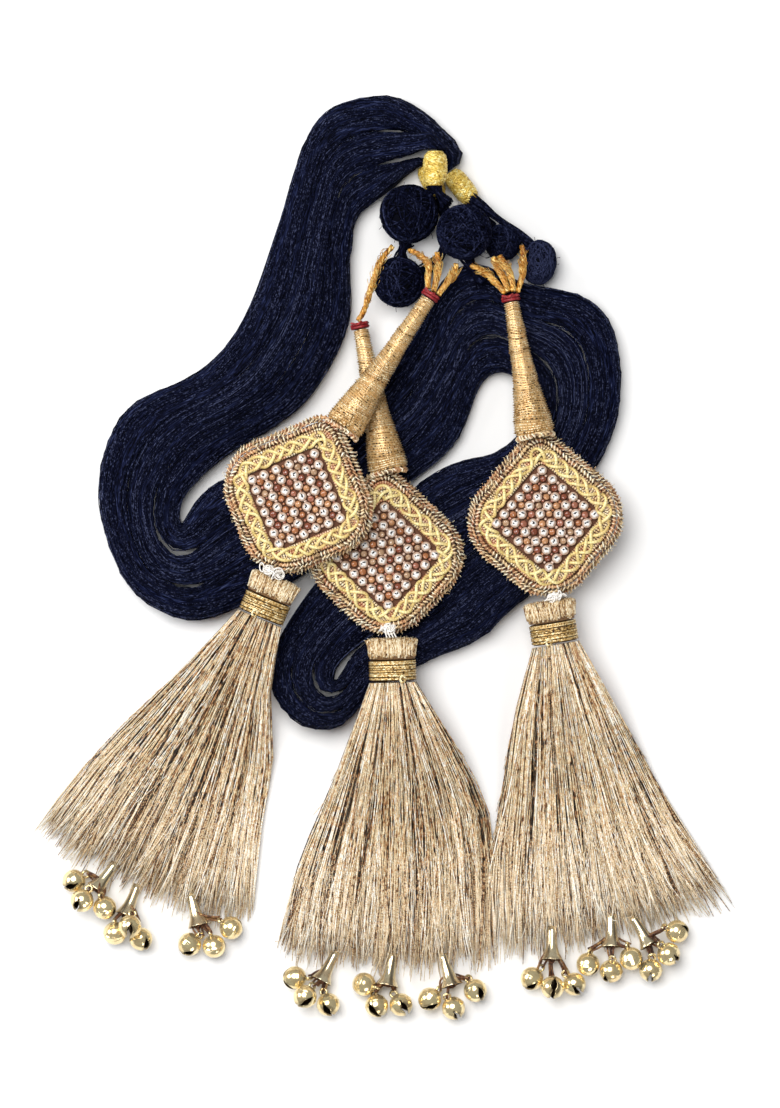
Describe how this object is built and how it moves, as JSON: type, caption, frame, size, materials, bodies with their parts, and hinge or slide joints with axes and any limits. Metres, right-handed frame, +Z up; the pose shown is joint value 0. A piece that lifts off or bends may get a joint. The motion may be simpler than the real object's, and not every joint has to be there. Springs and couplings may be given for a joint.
{
  "type": "paranda hair tassel",
  "caption": "Hair tassel to plait into a braid: black thread skeins and thread balls, and pendants with padded crystal medallions, thread tassels and round bells.",
  "frame": {"origin": "on the surface that it lies on, under the middle of its outline", "axes": "+Y from the tassels towards the collars, +X to the right as seen from above with the collars at the top, +Z up from the surface"},
  "size_m": [0.197, 0.2778, 0.0274],
  "materials": {
    "black_thread": "satin thread",
    "wound_thread": "satin thread",
    "gold_net": "metallic thread",
    "gold_cord": "twisted metallic thread",
    "red_thread": "satin thread",
    "stem_thread": "satin thread",
    "pad_cloth": "woven",
    "edge_twist": "twisted thread",
    "gold_braid": "metallic thread",
    "crystal": "cut and polished",
    "cap_thread": "looped thread",
    "wrap_wire": "wound wire",
    "tassel_thread": "satin thread",
    "horn_metal": "polished",
    "bell_metal": "polished"
  },
  "bodies": {
    "root": {"skein_inner": "black_thread", "skein_centre": "black_thread", "skein_outer": "black_thread", "collar_1": "gold_net", "collar_2": "gold_net", "collar_3": "gold_net", "ball_1": "wound_thread", "ball_2": "wound_thread", "ball_3": "wound_thread", "ball_4": "wound_thread", "ball_5": "wound_thread", "cords_left": "gold_cord", "cords_middle": "gold_cord", "cords_right": "gold_cord", "stem_tie_left": "red_thread", "stem_left": "stem_thread", "pad_left": "pad_cloth", "edge_cords_left": "edge_twist", "braid_left": "gold_braid", "stones_left": "crystal", "tassel_cap_left": "cap_thread", "tassel_wrap_left": "wrap_wire", "tassel_skirt_left": "tassel_thread", "stem_tie_middle": "red_thread", "stem_middle": "stem_thread", "pad_middle": "pad_cloth", "edge_cords_middle": "edge_twist", "braid_middle": "gold_braid", "stones_middle": "crystal", "tassel_cap_middle": "cap_thread", "tassel_wrap_middle": "wrap_wire", "tassel_skirt_middle": "tassel_thread", "stem_tie_right": "red_thread", "stem_right": "stem_thread", "pad_right": "pad_cloth", "edge_cords_right": "edge_twist", "braid_right": "gold_braid", "stones_right": "crystal", "tassel_cap_right": "cap_thread", "tassel_wrap_right": "wrap_wire", "tassel_skirt_right": "tassel_thread", "bell_horn_left_left": "horn_metal", "bells_left_left": "bell_metal", "bell_horn_left_middle": "horn_metal", "bells_left_middle": "bell_metal", "bell_horn_left_right": "horn_metal", "bells_left_right": "bell_metal", "bell_horn_middle_left": "horn_metal", "bells_middle_left": "bell_metal", "bell_horn_middle_middle": "horn_metal", "bells_middle_middle": "bell_metal", "bell_horn_middle_right": "horn_metal", "bells_middle_right": "bell_metal", "bell_horn_right_left": "horn_metal", "bells_right_left": "bell_metal", "bell_horn_right_middle": "horn_metal", "bells_right_middle": "bell_metal", "bell_horn_right_right": "horn_metal", "bells_right_right": "bell_metal"}
  },
  "joints": []
}
